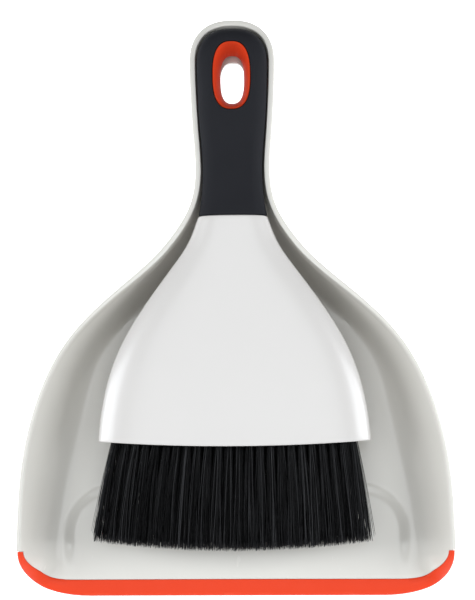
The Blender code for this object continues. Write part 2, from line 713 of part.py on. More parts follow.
def main():
    clear_scene()
    white = material("white_plastic", (0.84, 0.84, 0.83), 0.28)
    orange = material("orange_rubber", (0.90, 0.12, 0.05), 0.45)
    black = material("black_rubber", (0.020, 0.021, 0.024), 0.50)
    fibre = material("black_fibre", (0.012, 0.012, 0.013), 0.40)
    dark = material("black_plastic", (0.020, 0.020, 0.021), 0.50)
    ring = material("orange_plastic", (0.85, 0.08, 0.03), 0.25)
    make_pan_shell(white)
    make_pan_lip(orange)
    brush = brush_empty()
    make_brush_head(white, brush)
    make_brush_grip(black, brush)
    make_hang_ring(ring, brush)
    make_bristle_block(dark, brush)
    make_tufts(fibre, brush)


main()
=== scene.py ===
"""Looks of the dust pan and hand brush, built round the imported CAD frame.

Metres, +Z up, in the CAD's own frame: the pan stands on z = 0 with its sweeping edge at -Y and its
handle at +Y, and the brush lies in it. Every visible piece but the bristle block is a fine mesh that
stands for a CAD solid, on the same kinds of curve. The dimensions here were refined after the CAD
solids were built, so some differ from theirs, mostly in the pan's side walls. The brush is worked
out in its own frame, where +Y runs up its handle and +Z is its top face, and then placed.
"""

import math

import bmesh
import bpy
import numpy as np
from mathutils import Matrix, Vector


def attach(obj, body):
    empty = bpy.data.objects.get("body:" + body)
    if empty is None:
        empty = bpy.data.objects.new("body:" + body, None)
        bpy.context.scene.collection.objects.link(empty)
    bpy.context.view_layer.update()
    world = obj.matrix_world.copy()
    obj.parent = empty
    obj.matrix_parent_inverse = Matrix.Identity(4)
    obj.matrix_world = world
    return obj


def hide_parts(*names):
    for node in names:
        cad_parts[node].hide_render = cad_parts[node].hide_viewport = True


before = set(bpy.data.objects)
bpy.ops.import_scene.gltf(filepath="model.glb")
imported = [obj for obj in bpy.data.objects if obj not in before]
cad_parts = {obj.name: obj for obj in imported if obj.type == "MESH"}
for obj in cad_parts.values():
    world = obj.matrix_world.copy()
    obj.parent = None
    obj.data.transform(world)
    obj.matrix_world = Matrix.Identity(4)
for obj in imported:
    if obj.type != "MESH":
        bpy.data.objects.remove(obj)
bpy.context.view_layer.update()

# ---------------------------------------------------------------- driving dimensions

FRONT_Y, BACK_Y = -0.170, 0.170  # sweeping edge and end of the handle
LEAN = math.radians(7.0)  # slope of the handle, the brush and the pan's rim
JOINT_Y, JOINT_Z = 0.0520, 0.05195  # where the brush's head meets its grip
GAP = 0.0003  # between pieces that touch

WALL, HANDLE_WALL = 0.0024, 0.0033  # of the pan, and round its handle
PAN_HALF_WIDTH = 0.1295
CORNER_X, CORNER_Y, CORNER_POWER = 0.0975, -0.146, 2.7  # superellipse of the front corner
HANDLE_RADIUS = 0.0255
HANDLE_CENTRE_Y = BACK_Y - HANDLE_RADIUS
RIM_ABOVE_AXIS = 0.0015
SWOOP_START_Z, SWOOP_POWER = -0.006, 1.7  # the rim's rise round the front corners
STEP_HEIGHT, STEP_WIDTH = 0.0036, 0.0085  # the floor's step, behind the sweeping ledge
STEP_FADE_START, STEP_FADE_END = 0.004, 0.036  # behind the sweeping edge, where the step grows
LEDGE_HALF_WIDTH, LEDGE_BACK_Y, LEDGE_RADIUS = 0.1015, -0.1065, 0.026
RAMP_START_Y, RAMP_END_Y = -0.005, 0.072
CHANNEL_POWER, CHANNEL_CLEARANCE = 18, 0.0012
FILLET, FILLET_LOSS = 0.016, 0.004  # between floor and wall, and how much smaller it gets
# Stretches of y over which the pan changes towards its handle.
FILLET_SHRINKS_Y, WALL_GROWS_Y, BOWL_TO_CHANNEL_Y = (-0.09, -0.03), (-0.030, 0.040), (0.026, 0.064)
WALL_BEGINS_X = (0.090, 0.118)  # along the front, where the side wall starts
RIB_X, RIB_WIDTH, RIB_START_Y, RIB_END_Y = 0.052, 0.0028, -0.090, 0.012
BAND_PAN, BAND_HANDLE = 0.034, 0.0105  # width of the mesh band that follows the rim
BAND_NARROWS_Y, BAND_LIFT_LENGTH, BAND_BOW = (-0.040, 0.062), 0.110, 0.45

LIP_WIDTH, LIP_END_WIDTH, LIP_END_Y = 0.0098, 0.0040, -0.1441
LIP_NOSE = 0.0010
LIP_NARROWS_Y = (FRONT_Y + 0.006, LIP_END_Y)
TONGUE_LENGTH, TONGUE_TOP, TONGUE_BOTTOM = 0.0024, 0.00075, 0.00165

HOLE_V, HOLE_HALF_WIDTH, HOLE_HALF_LENGTH = 0.0825, 0.0078, 0.0135
GRIP_LENGTH, GRIP_END_RADIUS, END_ROUNDNESS = 0.1139, 0.0212, 2.35
ROUNDNESS = 2.6  # power of the handle's sections and of the ring
HEAD_LENGTH, HEAD_HALF_WIDTH, HEAD_WALL = 0.1363, 0.0806, 0.0025
HEAD_HOLLOW_END_V = -0.022
MOUTH_ARCH = 0.0030
CORE_HALF_WIDTH, CORE_HALF_THICKNESS = 0.0125, 0.0030
CORE_START_V, CORE_END_V, CORE_END_RADIUS = -0.004, 0.1085, 0.0160
CORE_WIDENS_V, CORE_LEAST = (0.035, 0.070), 0.002
RING_V, RING_HALF_WIDTH, RING_HALF_LENGTH = 0.0839, 0.01125, 0.0203
BORE_HALF_WIDTH, BORE_HALF_LENGTH = 0.0071, 0.0147
RING_RECESS = 0.0002
BLOCK_RECESS = 0.0030
TUFTS_PER_ROW, TUFT_SPAN, ROW_OFFSET = 24, 0.1395, 0.0039
TUFT_RADIUS, TUFT_DEPTH = 0.0020, 0.0090
TIP_V, TIP_ARCH, TIP_SPREAD, TIP_ROW_OFFSET = -0.1963, 0.0055, 1.112, 0.0050
TIP_HALF_WIDTH, TIP_HALF_DEPTH = 0.0042, 0.0047

# ---------------------------------------------------------------- what only the looks have

PAN_COLUMNS, PAN_ROWS, BAND_RINGS = 96, 190, 26
FRONT_DENSITY, SIDE_DENSITY = 0.45, 0.55  # of stations away from the front corners
CORNER_MARGIN = 0.004  # how far past the front corner the stations stay dense
BAND_SAMPLES = 161  # of each line across the band, closer together at the rim
# Rounding of the rim's inner edge, on top and down the wall: round the pan, and at its handle.
RIM_SOFT, HANDLE_RIM_SOFT = 0.0013, 0.0005
WALL_SOFT, HANDLE_WALL_SOFT = 0.0036, 0.0011
SOFT_CHANGES_Y = (-0.030, 0.030)
RIM_TAPER, RIM_FOOT = 0.0020, 0.0026  # where the rim's edge runs out into the outer face
EDGE_POINTS = 19  # of a section of the pan between its inner face and its outer one
# The rim's outer edge as (distance inwards, distance down), with its fine moulded step.
RIM_EDGE = [
    (0.00095, 0.0), (0.00087, 0.00002), (0.00080, 0.00014), (0.00050, 0.00016),
    (0.00022, 0.00026), (0.00006, 0.00048), (0.0, 0.00085), (0.0, 0.0015),
]
SEAM_ROUND = 0.0009  # rounding of the head and the grip where they meet
MOUTH_ROUND, MOUTH_INNER_ROUND = 0.0009, 0.0004
SEAT_ROUND = 0.0006  # rounding of the grip's edge round the ring
# Inner face of the ring from its top to its underside: (share of the way to the throat, height).
RING_SECTION = [
    (0.0, 0.90), (0.02, 0.975), (0.06, 1.0), (0.13, 0.95), (0.26, 0.82), (0.40, 0.66), (0.54, 0.49),
    (0.68, 0.30), (0.80, 0.10), (0.90, -0.10), (0.97, -0.30), (1.0, -0.48), (0.95, -0.64),
    (0.78, -0.76), (0.54, -0.90), (0.26, -0.985), (0.10, -1.0), (0.02, -0.975), (0.0, -0.90),
]
FLOOR_HALF_SIZE, FLOOR_DROP = 5.0, 0.0002  # just below the pan's feet, so the faces don't coincide

FILAMENTS = 96  # in each tuft
FILAMENT_RADIUS = 0.00016
FILAMENT_STEPS = [0.0, 0.10, 0.25, 0.42, 0.60, 0.78, 0.92, 1.0]
LENGTH_JITTER, SHORTEST, LONGEST = 0.0011, -0.0012, 0.0030
TIP_WANDER, BOW, WAVE = (0.0009, 0.0005), (0.0005, 0.0004), 0.00012  # how uneven filaments are
FIRST_SEED = 100
TIP_LEAN = -0.0016  # the bristles have taken a slight set to the left
STRAYS_LEFT, STRAYS_RIGHT = 5, 2  # loose filaments beside each end of the brush


# ---------------------------------------------------------------- curves

def smoothstep(low, high, value):
    t = np.clip((value - low) / (high - low), 0.0, 1.0)
    return t * t * (3 - 2 * t)


def spline(points, end_slopes):
    """The cubic spline through (position, value) points, with these slopes at its two ends."""
    at, value = np.array(points, float).T
    step = np.diff(at)
    rise = np.diff(value) / step
    system = np.eye(len(at))
    right = np.zeros(len(at))
    right[0], right[-1] = end_slopes
    for i in range(1, len(at) - 1):
        system[i, i - 1:i + 2] = step[i], 2 * (step[i - 1] + step[i]), step[i - 1]
        right[i] = 3 * (step[i] * rise[i - 1] + step[i - 1] * rise[i])
    slope = np.linalg.solve(system, right)

    def evaluate(x):
        x = np.clip(np.asarray(x, float), at[0], at[-1])
        i = np.clip(np.searchsorted(at, x) - 1, 0, len(step) - 1)
        t = (x - at[i]) / step[i]
        return (
            value[i] * (1 + 2 * t) * (1 - t) ** 2 + value[i + 1] * t * t * (3 - 2 * t)
            + step[i] * (slope[i] * t * (1 - t) ** 2 - slope[i + 1] * t * t * (1 - t))
        )

    return evaluate


# Half width of the pan's outer edge against y, from the front corner to the round handle end.
pan_half_width = spline(
    [
        (CORNER_Y, PAN_HALF_WIDTH), (-0.125, 0.1289), (-0.098, 0.1270), (-0.070, 0.1216),
        (-0.042, 0.1117), (-0.014, 0.0938), (0.007, 0.0719), (0.028, 0.0476),
        (0.0445, 0.0337), (0.058, 0.0260), (0.074, 0.0225), (0.100, 0.0234),
        (0.122, 0.0248), (HANDLE_CENTRE_Y, HANDLE_RADIUS),
    ],
    (0.0, 0.0),
)

# Slant of the pan's side walls, as horizontal run over height, against y.
wall_run = spline(
    [(FRONT_Y, 0.50), (-0.100, 0.55), (-0.060, 0.48), (-0.010, 0.20), (0.060, 0.18)], (0.0, 0.0)
)

# Half sizes of the brush against the distance along it from the head joint.
grip_half_width = spline(
    [
        (0.0, 0.0206), (0.011, 0.01880), (0.025, 0.0179), (0.040, 0.0184), (0.057, 0.0199),
        (0.075, 0.0208), (GRIP_LENGTH - GRIP_END_RADIUS, GRIP_END_RADIUS),
    ],
    (-0.24, 0.0),
)
grip_half_thickness = spline(
    [(0.0, 0.0106), (0.028, 0.0097), (0.085, 0.0110), (GRIP_LENGTH, 0.0112)], (-0.03, 0.0)
)
head_half_width = spline(
    [
        (-HEAD_LENGTH, HEAD_HALF_WIDTH), (-0.117, 0.0787), (-0.0957, 0.0742), (-0.0746, 0.0660),
        (-0.0532, 0.0532), (-0.0317, 0.0377), (-0.0156, 0.0268), (0.0, 0.0206),
    ],
    (-0.05, -0.36),
)
head_half_thickness = spline(
    [(-HEAD_LENGTH, 0.0120), (-0.100, 0.0123), (-0.050, 0.0114), (0.0, 0.0106)], (-0.01, 0.0)
)


# ---------------------------------------------------------------- the pan's surface

def brush_axis_height(y):
    return JOINT_Z + (y - JOINT_Y) * math.tan(LEAN)


def rim_height(y):
    """The rim runs parallel to the brush, and swoops down round the front corners."""
    along = np.clip((y - FRONT_Y) / (CORNER_Y - FRONT_Y), 0.0, 1.0)
    swoop = 1 - (1 - along) ** SWOOP_POWER
    straight = brush_axis_height(y) + RIM_ABOVE_AXIS
    return SWOOP_START_Z + (straight - SWOOP_START_Z) * swoop


def floor_height(x, y):
    """Inner face of the floor: sweeping ledge, the step behind it and the ramp up to the handle."""
    dx = np.abs(x) - (LEDGE_HALF_WIDTH - LEDGE_RADIUS)
    dy = y - (LEDGE_BACK_Y - LEDGE_RADIUS)
    outside = np.where((dx > 0) & (dy > 0), np.hypot(dx, dy), np.maximum(dx, dy)) - LEDGE_RADIUS
    step = STEP_HEIGHT * smoothstep(-STEP_WIDTH / 2, STEP_WIDTH / 2, outside)
    step = step * smoothstep(FRONT_Y + STEP_FADE_START, FRONT_Y + STEP_FADE_END, y)
    grip_bottom = brush_axis_height(y) - grip_half_thickness(np.maximum(y - JOINT_Y, 0.0))
    channel = grip_bottom - CHANNEL_CLEARANCE
    low = WALL + step
    return low + (channel - low) * smoothstep(RAMP_START_Y, RAMP_END_Y, y)


def wall_thickness(y):
    """The wall is thicker round the handle."""
    return WALL + (HANDLE_WALL - WALL) * smoothstep(*WALL_GROWS_Y, y)


def inner_half_width(y):
    return pan_half_width(y) - wall_thickness(y)


def inner_height(x, y):
    """Height of the pan's inner face over any point of its plan."""
    base, rim = floor_height(x, y), rim_height(y)
    slope = (inner_half_width(y + 1e-4) - inner_half_width(y - 1e-4)) / 2e-4
    inset = (inner_half_width(y) - np.abs(x)) / np.sqrt(1 + slope * slope)
    wall = rim - inset / wall_run(y)
    fillet = FILLET - FILLET_LOSS * smoothstep(*FILLET_SHRINKS_Y, y)
    share = np.clip(0.5 + 0.5 * (base - wall) / fillet, 0.0, 1.0)
    scoop = wall + (base - wall) * share + fillet * share * (1 - share)
    past_centre = np.maximum(y - HANDLE_CENTRE_Y, 0.0)
    out = (np.abs(x) ** END_ROUNDNESS + past_centre ** END_ROUNDNESS) ** (1 / END_ROUNDNESS)
    out = out / inner_half_width(y)
    channel = base + (rim - base) * np.minimum(out, 1.1) ** CHANNEL_POWER
    return scoop + (channel - scoop) * smoothstep(*BOWL_TO_CHANNEL_Y, y)


def inner_normal(x, y):
    """Unit normal of the inner face, pointing into the pan."""
    d = 2e-5
    dzdx = (inner_height(x + d, y) - inner_height(x - d, y)) / (2 * d)
    dzdy = (inner_height(x, y + d) - inner_height(x, y - d)) / (2 * d)
    normal = np.stack([-dzdx, -dzdy, np.ones_like(dzdx)], -1)
    return normal / np.linalg.norm(normal, axis=-1, keepdims=True)


# ---------------------------------------------------------------- the pan's outline

def resample(points, count, density):
    """This many steps along a polyline, shorter where the density is higher."""
    points = np.array(points)
    run = np.cumsum(np.linalg.norm(np.diff(points, axis=0), axis=1) * density)
    run = np.concatenate([[0.0], run])
    at = np.linspace(0.0, run[-1], count + 1)
    return np.stack([np.interp(at, run, points[:, k]) for k in range(2)], -1)


def corner_density(points, elsewhere):
    """1 round the front corner, and this much along the rest."""
    x, y = np.array(points[:-1]).T
    return np.where((y < CORNER_Y + CORNER_MARGIN) & (x > CORNER_X - CORNER_MARGIN), 1.0, elsewhere)


def corner_point(angle):
    """On the front corner: angle 0 is the side, a right angle is the straight edge."""
    power = 2 / CORNER_POWER
    return (
        CORNER_X + (PAN_HALF_WIDTH - CORNER_X) * math.cos(angle) ** power,
        CORNER_Y - (CORNER_Y - FRONT_Y) * math.sin(angle) ** power,
    )


def handle_end_point(angle):
    """On the handle's end: angle 0 is the side, a right angle is the far end."""
    power = 2 / END_ROUNDNESS
    return (
        HANDLE_RADIUS * max(0.0, math.cos(angle)) ** power,
        HANDLE_CENTRE_Y + HANDLE_RADIUS * math.sin(angle) ** power,
    )


def half_outline():
    """Right half of the pan's outer edge in three runs: front, side and handle end."""
    fine = 240
    quarter = math.pi / 2
    front = [(CORNER_X * i / fine, FRONT_Y) for i in range(fine)]
    front += [corner_point(quarter * (1 - 0.5 * i / fine)) for i in range(fine + 1)]
    side = [corner_point(quarter * (0.5 - 0.5 * i / fine)) for i in range(fine)]
    length = HANDLE_CENTRE_Y - CORNER_Y
    for i in range(4 * fine):
        y = CORNER_Y + length * i / (4 * fine)
        side.append((float(pan_half_width(y)), y))
    end = [handle_end_point(quarter * i / (2 * fine)) for i in range(2 * fine + 1)]
    side += end[:fine + 1]
    return front, side, end[fine:]


def pan_outline():
    """Closed outer edge, counter-clockwise from the middle of the front, and its inward normals."""
    front, side, end = half_outline()
    right = np.concatenate([
        resample(front, PAN_COLUMNS // 2, corner_density(front, FRONT_DENSITY))[:-1],
        resample(side, PAN_ROWS, corner_density(side, SIDE_DENSITY))[:-1],
        resample(end, PAN_COLUMNS // 2, 1.0),
    ])
    left = right[1:-1][::-1] * (-1, 1)
    loop = np.concatenate([right, left])
    tangent = np.roll(loop, -1, axis=0) - np.roll(loop, 1, axis=0)
    tangent /= np.linalg.norm(tangent, axis=1, keepdims=True)
    return loop, np.stack([-tangent[:, 1], tangent[:, 0]], -1)


def wall_share(loop):
    """1 where a wall stands at the edge, and 0 along the open front."""
    return np.where(loop[:, 1] < CORNER_Y, smoothstep(*WALL_BEGINS_X, np.abs(loop[:, 0])), 1.0)


def band_end(loop):
    """Where the band that follows the rim ends, inside each point of the outline."""
    x, y = loop.T
    band = BAND_PAN + (BAND_HANDLE - BAND_PAN) * smoothstep(*BAND_NARROWS_Y, y)
    lift = BAND_PAN * np.maximum(0.0, 1 - (y - FRONT_Y) / BAND_LIFT_LENGTH) ** 2
    keep = 1 - band / pan_half_width(np.maximum(y, CORNER_Y))
    round_end = HANDLE_CENTRE_Y + (y - HANDLE_CENTRE_Y) * keep
    return np.stack([x * keep, np.where(y > HANDLE_CENTRE_Y, round_end, y + lift)], -1)


class RimBand:
    """Lines across the band, one at each point of the outline, measured along the inner face."""

    def __init__(self):
        self.loop, self.normals = pan_outline()
        self.wall = wall_thickness(self.loop[:, 1])
        start = self.loop + self.normals * (self.wall * wall_share(self.loop))[:, None]
        centre = np.array([0.0, HANDLE_CENTRE_Y])
        shrunk = centre + (self.loop - centre) * (1 - HANDLE_WALL / HANDLE_RADIUS)
        start = np.where(self.loop[:, 1:] > HANDLE_CENTRE_Y, shrunk, start)
        self.end = band_end(self.loop)
        reach = np.linalg.norm(self.end - start, axis=1)[:, None]
        control = start + self.normals * BAND_BOW * reach
        t = np.linspace(0.0, 1.0, BAND_SAMPLES)[None, :, None] ** 1.5
        before, between, after = (1 - t) ** 2, 2 * t * (1 - t), t * t
        self.plan = before * start[:, None] + between * control[:, None] + after * self.end[:, None]
        x, y = self.plan[..., 0], self.plan[..., 1]
        path = np.stack([x, y, inner_height(x, y)], -1)
        steps = np.linalg.norm(np.diff(path, axis=1), axis=2)
        self.run = np.concatenate([np.zeros((len(steps), 1)), np.cumsum(steps, axis=1)], axis=1)
        along = smoothstep(*LIP_NARROWS_Y, self.loop[:, 1])
        width = LIP_WIDTH + (LIP_END_WIDTH - LIP_WIDTH) * along
        out = np.linalg.norm(self.plan - self.loop[:, None], axis=2)
        self.lip_width = np.array([np.interp(w, o, r) for w, o, r in zip(width, out, self.run)])
        self.has_lip = self.loop[:, 1] < LIP_END_Y

    def at(self, stations, distance, depth):
        """Points this far in from the rim and this far below the inner face, a row for each station."""
        rows = []
        for i, far in zip(stations, np.broadcast_to(distance, (len(stations), np.shape(distance)[-1]))):
            rows.append([np.interp(far, self.run[i], self.plan[i, :, k]) for k in range(2)])
        x, y = np.moveaxis(np.array(rows), 1, 0)
        points = np.stack([x, y, inner_height(x, y)], -1)
        return points - np.broadcast_to(depth, x.shape)[..., None] * inner_normal(x, y)

    def over(self, stations, inwards, down):
        """Points this far inside the outline in plan and this far below the rim."""
        loop, normals = self.loop[stations][:, None], self.normals[stations][:, None]
        plan = loop + normals * np.atleast_2d(inwards)[..., None]
        height = rim_height(plan[..., 1]) - np.array(down)
        return np.concatenate([plan, height[..., None]], -1)


def bend(start, control, end, shares):
    """Points on the quadratic curve between two columns of points."""
    t = np.array(shares)[None, :, None]
    return (1 - t) ** 2 * start + 2 * t * (1 - t) * control + t * t * end


# ---------------------------------------------------------------- mesh helpers

BRUSH = Matrix.Translation((0.0, JOINT_Y, JOINT_Z)) @ Matrix.Rotation(LEAN, 4, "X")


def placed(points, place):
    """Points given in some frame, such as the brush's, in the CAD's frame."""
    return np.asarray(points, float) @ np.array(place)[:3, :3].T + np.array(place)[:3, 3]


def new_mesh(name, points, faces, place=Matrix.Identity(4), weld=False):
    """A mesh object with its faces turned outwards, and on request with coinciding points made one."""
    mesh = bpy.data.meshes.new(name)
    mesh.from_pydata(placed(points, place).tolist(), [], [tuple(map(int, f)) for f in faces])
    shape = bmesh.new()
    shape.from_mesh(mesh)
    if weld:
        bmesh.ops.remove_doubles(shape, verts=shape.verts, dist=1e-6)
    bmesh.ops.recalc_face_normals(shape, faces=shape.faces)
    shape.to_mesh(mesh)
    shape.free()
    made = bpy.data.objects.new(name, mesh)
    bpy.context.scene.collection.objects.link(made)
    return made


def boolean(target, tool, operation):
    """Cuts the tool from the target, or joins them, and removes the tool."""
    change = target.modifiers.new("boolean", "BOOLEAN")
    change.operation = operation
    change.solver = "EXACT"
    change.object = tool
    graph = bpy.context.evaluated_depsgraph_get()
    mesh = bpy.data.meshes.new_from_object(target.evaluated_get(graph), depsgraph=graph)
    target.modifiers.clear()
    target.data = mesh
    bpy.data.objects.remove(tool)


def finish_piece(piece, body, material, nodes, sharp=40.0):
    """Shades the piece, ties it to its body, and hides the CAD nodes it stands for."""
    piece.data.shade_smooth()
    piece.data.set_sharp_from_angle(angle=math.radians(sharp))
    piece.data.materials.clear()
    piece.data.materials.append(material)
    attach(piece, body)
    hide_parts(*nodes)


def stack_faces(rings, count, closed_ends=True, first=0):
    """Quads between rings of count points each, with a cap on each end."""
    ring, point = np.meshgrid(np.arange(rings - 1), np.arange(count), indexing="ij")
    here, beyond = ring * count + point, ring * count + (point + 1) % count
    quads = np.stack([here, beyond, beyond + count, here + count], -1).reshape(-1, 4) + first
    faces = quads.tolist()
    if closed_ends:
        faces.append([first + i for i in range(count)])
        faces.append([first + (rings - 1) * count + i for i in range(count)])
    return faces


def rounded_section(half_x, half_z, power_x, power_z, count):
    """Points round a superellipse, closer together where it turns, counter-clockwise from +X."""
    angle = np.linspace(0.0, math.pi / 2, 500)
    x = half_x * np.cos(angle) ** (2 / power_x)
    z = half_z * np.sin(angle) ** (2 / power_z)
    dx, dz = np.diff(x), np.diff(z)
    length = np.hypot(dx, dz)
    heading = np.unwrap(np.arctan2(dz, dx))
    turn = np.abs(np.diff(heading, append=heading[-1]))
    run = np.cumsum(length / length.sum() + 0.9 * turn / turn.sum())
    run = np.concatenate([[0.0], run / run[-1]])
    at = np.linspace(0.0, 1.0, count // 4 + 1)
    x, z = np.interp(at, run, x), np.interp(at, run, z)
    there, back = slice(0, -1), slice(None, 0, -1)
    return np.stack([
        np.concatenate([x[there], -x[back], -x[there], x[back]]),
        np.concatenate([z[there], z[back], -z[there], -z[back]]),
    ], -1)


def loft(name, rings, place=Matrix.Identity(4), closed_ends=True):
    """A mesh through rings of points, which all have the same number of them."""
    points = np.concatenate([np.asarray(r, float) for r in rings])
    return new_mesh(name, points, stack_faces(len(rings), len(rings[0]), closed_ends), place)


def quarter_turn(steps):
    """(cosine, sine) from 0 to 90 degrees."""
    angle = np.linspace(0.0, math.pi / 2, steps)
    return list(zip(np.cos(angle), np.sin(angle)))


# ---------------------------------------------------------------- pan pieces

def pan_patch(loop):
    """The grid inside a closed loop of plan points: its inner points and its quads.

    An index below the loop's length is a point of the loop, counted from the middle of the front.
    """
    count, half = len(loop), PAN_COLUMNS // 2
    grid = np.zeros((PAN_ROWS + 1, PAN_COLUMNS + 1), int)
    grid[0] = (np.arange(PAN_COLUMNS + 1) - half) % count
    grid[-1] = half + PAN_ROWS + PAN_COLUMNS - np.arange(PAN_COLUMNS + 1)
    grid[:, -1] = half + np.arange(PAN_ROWS + 1)
    grid[:, 0] = count - half - np.arange(PAN_ROWS + 1)
    grid[1:-1, 1:-1] = count + np.arange((PAN_ROWS - 1) * (PAN_COLUMNS - 1)).reshape(PAN_ROWS - 1, -1)
    u = np.linspace(0.0, 1.0, PAN_COLUMNS + 1)[None, 1:-1, None]
    v = np.linspace(0.0, 1.0, PAN_ROWS + 1)[1:-1, None, None]
    front, back = loop[grid[0, 1:-1]][None], loop[grid[-1, 1:-1]][None]
    left, right = loop[grid[1:-1, 0]][:, None], loop[grid[1:-1, -1]][:, None]
    front_corners = (1 - u) * loop[grid[0, 0]] + u * loop[grid[0, -1]]
    back_corners = (1 - u) * loop[grid[-1, 0]] + u * loop[grid[-1, -1]]
    along = (1 - v) * (front - front_corners) + v * (back - back_corners)
    inside = (along + (1 - u) * left + u * right).reshape(-1, 2)
    quads = np.stack([grid[:-1, :-1], grid[:-1, 1:], grid[1:, 1:], grid[1:, :-1]], -1).reshape(-1, 4)
    return inside, quads


def shell_sections(band, stations, under_lip):
    """Sections over the pan's edge from the inner face to the outer one, a row for each station."""
    width = band.lip_width[stations]
    length = band.run[stations, -1]
    steps = width[:, None] + (length - width)[:, None] * np.linspace(0.0, 1.0, BAND_RINGS)
    wall = band.wall[stations][:, None]
    inner, outer = band.at(stations, steps[:, ::-1], 0.0), band.at(stations, steps, wall)
    if under_lip:
        corner = np.linspace(0.0, 5.0, EDGE_POINTS)
        tip = width - TONGUE_LENGTH
        across = np.stack([width, width, tip, tip, width, width], -1)
        across = np.stack([np.interp(corner, range(6), row) for row in across])
        down = [0.0, TONGUE_TOP, TONGUE_TOP, TONGUE_BOTTOM, TONGUE_BOTTOM, WALL]
        edge = band.at(stations, across, np.interp(corner, range(6), down))
    else:
        handle = smoothstep(*SOFT_CHANGES_Y, band.loop[stations, 1])
        top_soft = RIM_SOFT + (HANDLE_RIM_SOFT - RIM_SOFT) * handle
        wall_soft = np.minimum(WALL_SOFT + (HANDLE_WALL_SOFT - WALL_SOFT) * handle, 0.8 * width)
        face = band.at(stations, wall_soft[:, None] * [1.0, 0.65], 0.0)
        land = band.over(stations, wall - top_soft[:, None], [0.0])
        corner = band.over(stations, wall, [0.0])
        rim = band.over(stations, *zip(*RIM_EDGE))
        below = band.at(stations, [RIM_FOOT], wall)
        soft = bend(face[:, 1:], corner, land, (0.14, 0.28, 0.42, 0.57, 0.72, 0.86))
        taper = bend(rim[:, -1:], band.over(stations, [0.0], [RIM_TAPER]), below, (0.5,))
        edge = np.concatenate([face, soft, land, rim, taper, below], axis=1)
    return np.concatenate([inner, edge, outer], axis=1)


def make_pan(material):
    """One moulding: a band of sections round the rim, and a patch inside it on either face."""
    band = RimBand()
    count = len(band.loop)
    sections, order = [], []
    plain, gripped = (shell_sections(band, range(count), kind) for kind in (False, True))
    for i in range(count):
        here, before, after = band.has_lip[i], band.has_lip[i - 1], band.has_lip[(i + 1) % count]
        if here and not before:
            sections.append(plain[i])
        order.append(len(sections))
        sections.append(gripped[i] if here else plain[i])
        if here and not after:
            sections.append(plain[i])
    across = len(sections[0])
    section, point = np.meshgrid(np.arange(len(sections)), np.arange(across - 1), indexing="ij")
    a = section * across + point
    b = (section + 1) % len(sections) * across + point
    faces = np.stack([a, b, b + 1, a + 1], -1).reshape(-1, 4).tolist()
    inside, quads = pan_patch(band.end)
    x, y = inside.T
    top = np.stack([x, y, inner_height(x, y)], -1)
    under = top - wall_thickness(y)[:, None] * inner_normal(x, y)
    points = np.concatenate([*sections, top, under])
    first = len(sections) * across
    for ring, start in ((0, first), (across - 1, first + len(top))):
        index = np.concatenate([np.array(order) * across + ring, start + np.arange(len(top))])
        faces += index[quads].tolist()
    pan = new_mesh("dust_pan", points, faces, weld=True)
    for rib_x in (-RIB_X, 0.0, RIB_X):
        boolean(pan, heel_rib(rib_x), "UNION")
    boolean(pan, hanging_hole(), "DIFFERENCE")
    finish_piece(pan, "pan", material, ["pan_shell"])
    return band


def heel_rib(x):
    """A low rib under the raised floor, from the step to the ramp."""
    rings = []
    for y in np.linspace(RIB_START_Y, RIB_END_Y, 15):
        top = float(inner_height(np.array(x), np.array(y))) - WALL / 2
        low, high = x - RIB_WIDTH / 2, x + RIB_WIDTH / 2
        rings.append([(low, y, 0.0), (high, y, 0.0), (high, y, top), (low, y, top)])
    return loft("heel_rib", rings)


def hanging_hole():
    oval = rounded_section(HOLE_HALF_WIDTH, HOLE_HALF_LENGTH, ROUNDNESS, ROUNDNESS, 64)
    rings = [[(x, HOLE_V + y, z) for x, y in oval] for z in (-0.030, 0.0)]
    return loft("hole", rings, BRUSH)


def make_lip(band, material):
    """The soft lip, a strip along the front and round both corners, slotted for the pan's edge."""
    count = len(band.loop)
    stations = [i for i in range(-count // 2, count // 2) if band.has_lip[i]]
    width = band.lip_width[stations]
    back, slot = width - GAP / 2, width - TONGUE_LENGTH - GAP
    thinning = (1 - wall_share(band.loop[stations])) * (WALL - LIP_NOSE)
    soft = 0.0003
    outline = [  # distance in from the rim, and depth below the inner face
        (back, soft), (back - soft, 0.0), ((back + 0.0016) / 2, 0.35 * thinning),
        (0.0016, 0.7 * thinning), (0.0005, 0.0003 + 0.72 * thinning),
        (0.0, 0.0009 + 0.62 * thinning), (0.0, 0.0016 + 0.35 * thinning),
        (0.0004, 0.0022 + 0.1 * thinning), (0.0011, WALL),
        (back - soft, WALL), (back, WALL - soft), (back, TONGUE_BOTTOM + GAP),
        (slot, TONGUE_BOTTOM + GAP), (slot, TONGUE_TOP - GAP), (back, TONGUE_TOP - GAP),
    ]
    distance = np.stack([np.broadcast_to(d, width.shape) for d, _ in outline], -1)
    depth = np.stack([np.broadcast_to(d, width.shape) for _, d in outline], -1)
    rings = list(band.at(stations, distance, depth))
    for end, beside in ((0, 1), (-1, -2)):
        rings[end] = rings[end] + (rings[beside] - rings[end]) * 0.25
    lip = loft("sweeping_lip", rings)
    finish_piece(lip, "pan", material, ["pan_lip"], sharp=50.0)


# ---------------------------------------------------------------- brush pieces

def mouth_bend(x, v):
    """Moves a section of the head along it, so that the mouth is arched."""
    return v + MOUTH_ARCH * (x / HEAD_HALF_WIDTH) ** 2 * (v / -HEAD_LENGTH) ** 4


